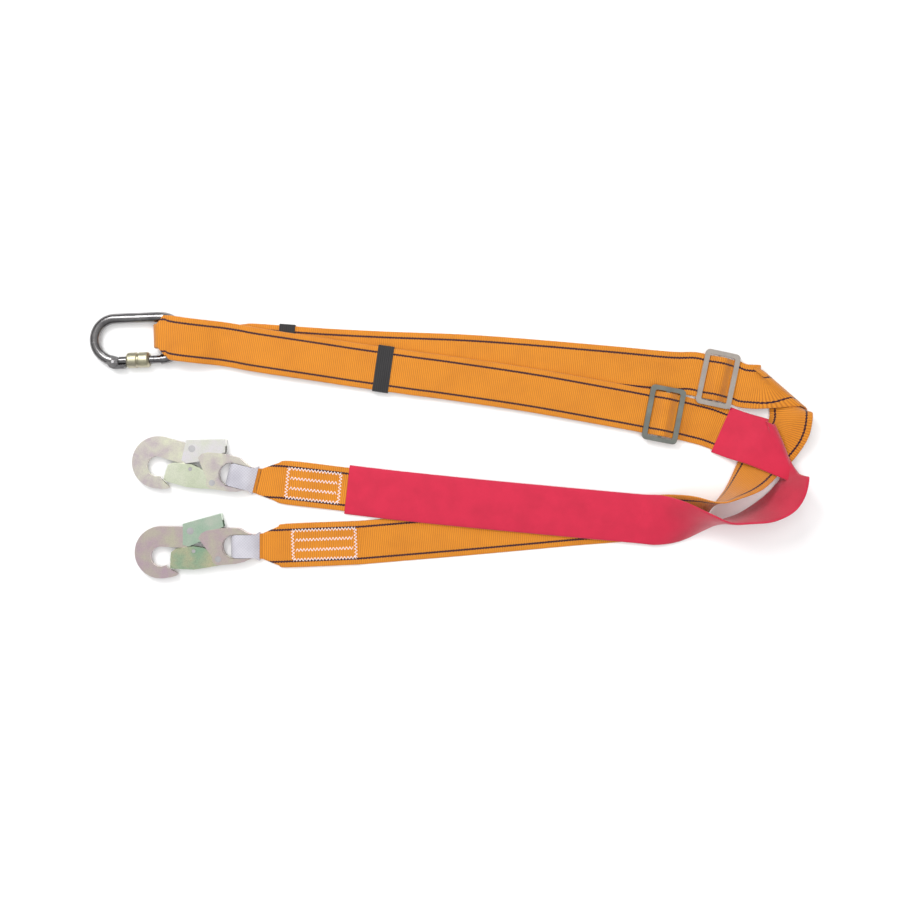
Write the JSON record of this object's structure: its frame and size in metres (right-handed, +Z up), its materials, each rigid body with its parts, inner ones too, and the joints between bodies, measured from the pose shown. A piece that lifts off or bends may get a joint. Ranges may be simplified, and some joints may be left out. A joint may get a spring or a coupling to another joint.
{
  "type": "shock absorbing lanyard",
  "caption": "Adjustable webbing fall-arrest lanyard, two legs from one screw-gate carabiner to double-action snap hooks, one leg in a cloth sleeve",
  "frame": {"origin": "middle of the lanyard as it lies, on the surface under it", "axes": "+X along the laid-out length with the carabiner and hooks at -X, +Y towards the carabiner leg, +Z up"},
  "size_m": [0.7882, 0.2914, 0.0584],
  "materials": {
    "webbing": "ribbed woven polyester webbing, dark tracer near each edge",
    "sleeve_cloth": "plain woven crimson cloth",
    "wear_cloth": "diagonal woven tubing",
    "thread": "sewing thread",
    "elastic": "ribbed black elastic",
    "dark_steel": "bright dark plated steel",
    "screw_zinc": "knurled yellow zinc",
    "hook_zinc": "iridescent zinc on pressed steel",
    "gate_zinc": "green-yellow zinc on sheet",
    "slide_a_steel": "satin grey steel",
    "slide_b_steel": "satin warm steel",
    "pin_steel": "bright steel"
  },
  "bodies": {
    "webbing_set": {"webbing_a_bight": "webbing", "webbing_a_long_run": "webbing", "webbing_a_return_run": "webbing", "webbing_a_bar_loop": "webbing", "webbing_a_turn": "webbing", "webbing_a_hook_run": "webbing", "webbing_a_lap": "webbing", "webbing_a_eye_loop": "webbing", "webbing_b_bight": "webbing", "webbing_b_long_run": "webbing", "webbing_b_return_run": "webbing", "webbing_b_bar_loop": "webbing", "webbing_b_turn": "webbing", "webbing_b_hook_run": "webbing", "webbing_b_lap": "webbing", "webbing_b_eye_loop": "webbing", "protective_sleeve_turn": "sleeve_cloth", "protective_sleeve_run": "sleeve_cloth", "slide_a": "slide_a_steel", "slide_b": "slide_b_steel", "wear_sleeve_a": "wear_cloth", "wear_sleeve_b": "wear_cloth", "box_stitch_a": "thread", "box_stitch_b": "thread"},
    "keeper_a_band": {"keeper_a": "elastic"},
    "keeper_b_band": {"keeper_b": "elastic"},
    "carabiner": {"carabiner_body": "dark_steel", "gate_pin": "pin_steel"},
    "carabiner_gate_arm": {"carabiner_gate": "dark_steel", "gate_plunger": "pin_steel", "gate_spring": "pin_steel"},
    "carabiner_screw": {"screw_sleeve": "screw_zinc"},
    "hook_a": {"hook_a_body": "hook_zinc", "hook_a_gate_rivet": "pin_steel", "hook_a_lever_rivet": "pin_steel", "hook_a_gate_spring": "pin_steel", "hook_a_lever_spring": "pin_steel"},
    "hook_a_gate_part": {"hook_a_gate": "gate_zinc", "hook_a_guide_pin": "pin_steel"},
    "hook_a_lever_part": {"hook_a_lever": "gate_zinc"},
    "hook_b": {"hook_b_body": "hook_zinc", "hook_b_gate_rivet": "pin_steel", "hook_b_lever_rivet": "pin_steel", "hook_b_gate_spring": "pin_steel", "hook_b_lever_spring": "pin_steel"},
    "hook_b_gate_part": {"hook_b_gate": "gate_zinc", "hook_b_guide_pin": "pin_steel"},
    "hook_b_lever_part": {"hook_b_lever": "gate_zinc"}
  },
  "joints": [
    {"name": "keeper_a_slide", "type": "slide", "parent": "webbing_set", "child": "keeper_a_band", "axis": [0.9898, -0.1426, 0], "range_m": [-0.02, 0.02]},
    {"name": "keeper_b_slide", "type": "slide", "parent": "webbing_set", "child": "keeper_b_band", "axis": [0.9976, -0.0698, 0], "range_m": [-0.02, 0.02]},
    {"name": "carabiner_pull", "type": "slide", "parent": "webbing_set", "child": "carabiner", "axis": [-0.9987, -0.0349, -0.0366], "range_m": [0, 0.012]},
    {"name": "carabiner_gate_swing", "type": "hinge", "parent": "carabiner", "child": "carabiner_gate_arm", "pos_m": [-0.36775, 0.09118, 0.00809], "axis": [-0.0366, -0.0013, 0.9993], "range_deg": [0, 24], "stiffness_Nm_per_rad": 0.3, "springref_deg": -17.19},
    {"name": "screw_travel", "type": "slide", "parent": "carabiner_gate_arm", "child": "carabiner_screw", "axis": [-0.9987, -0.0349, -0.0366], "range_m": [-0.009, 0]},
    {"name": "hook_a_swing", "type": "hinge", "parent": "webbing_set", "child": "hook_a", "pos_m": [-0.22557, -0.03551, 0.00662], "axis": [0.2419, 0.9703, 0], "range_deg": [-60, 60]},
    {"name": "hook_a_lever_press", "type": "hinge", "parent": "hook_a", "child": "hook_a_lever_part", "pos_m": [-0.28147, -0.00385, 0.00662], "axis": [0, 0, -1], "range_deg": [0, 12], "stiffness_Nm_per_rad": 0.5, "springref_deg": -17.19, "deforming": ["hook_a_lever_spring"]},
    {"name": "hook_a_gate_swing", "type": "hinge", "parent": "hook_a", "child": "hook_a_gate_part", "pos_m": [-0.25935, -0.04121, 0.00662], "axis": [0, 0, -1], "range_deg": [0, 17.5], "deforming": ["hook_a_gate_spring"]},
    {"name": "hook_b_swing", "type": "hinge", "parent": "webbing_set", "child": "hook_b", "pos_m": [-0.22127, -0.11091, 0.00662], "axis": [0, 1, 0], "range_deg": [-60, 60]},
    {"name": "hook_b_lever_press", "type": "hinge", "parent": "hook_b", "child": "hook_b_lever_part", "pos_m": [-0.28317, -0.09371, 0.00662], "axis": [0, 0, -1], "range_deg": [0, 12], "stiffness_Nm_per_rad": 0.5, "springref_deg": -17.19, "deforming": ["hook_b_lever_spring"]},
    {"name": "hook_b_gate_swing", "type": "hinge", "parent": "hook_b", "child": "hook_b_gate_part", "pos_m": [-0.25267, -0.12461, 0.00662], "axis": [0, 0, -1], "range_deg": [0, 17.5], "deforming": ["hook_b_gate_spring"]}
  ],
  "couplings": [
    {"joint": "hook_a_gate_swing", "follows": "hook_a_lever_press", "ratio": 1.42},
    {"joint": "hook_b_gate_swing", "follows": "hook_b_lever_press", "ratio": 1.42}
  ]
}
